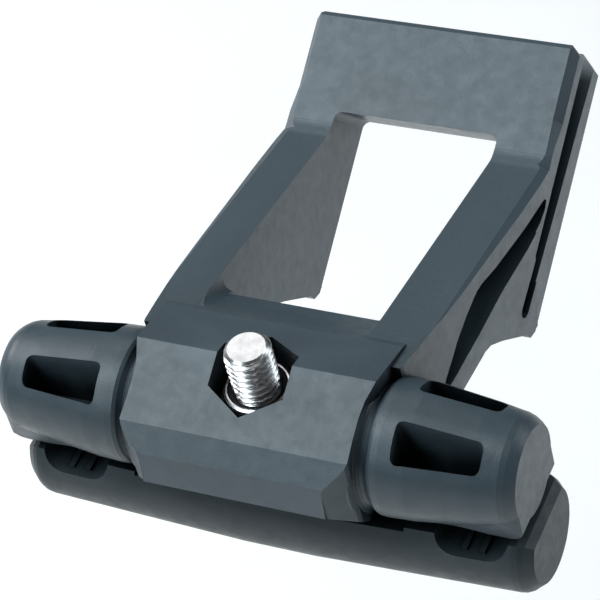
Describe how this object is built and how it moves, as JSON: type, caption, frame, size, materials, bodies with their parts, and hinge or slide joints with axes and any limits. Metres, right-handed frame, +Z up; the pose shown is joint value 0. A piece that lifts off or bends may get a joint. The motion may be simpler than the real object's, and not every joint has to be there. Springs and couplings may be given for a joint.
{
  "type": "saddle bag mount",
  "caption": "Saddle rail clamp with a grooved lower jaw, a faceted upper jaw held by a centre bolt, and a slotted slide plate on two arms for a bag.",
  "frame": {"origin": "on the bolt axis, midway between the two rails, on the parting plane of the jaws", "axes": "+X across the saddle from one rail to the other, +Y back along the rails towards the slide plate, +Z up along the clamp bolt"},
  "size_m": [0.0574, 0.0669, 0.0274],
  "materials": {
    "bracket_plastic": "satin glass-filled moulding",
    "bar_plastic": "satin glass-filled moulding",
    "fastener_steel": "bright stainless steel",
    "washer_steel": "plain stainless steel",
    "insert_nylon": "dull nylon"
  },
  "bodies": {
    "bracket_body": {"bracket": "bracket_plastic", "clamp_nut": "fastener_steel", "nut_insert": "insert_nylon"},
    "jaw_body": {"clamp_bar": "bar_plastic"},
    "bolt_body": {"clamp_bolt": "fastener_steel", "washer": "washer_steel"}
  },
  "joints": [
    {"name": "jaw_slide", "type": "slide", "parent": "bracket_body", "child": "jaw_body", "axis": [0, 0, -1], "range_m": [0, 0.005]},
    {"name": "bolt_turn", "type": "hinge", "parent": "jaw_body", "child": "bolt_body", "pos_m": [0, 0, 0], "axis": [0, 0, -1], "range_deg": [0, 2250.1]}
  ],
  "couplings": [
    {"joint": "bolt_turn", "follows": "jaw_slide", "rad_per_m": 7854}
  ]
}
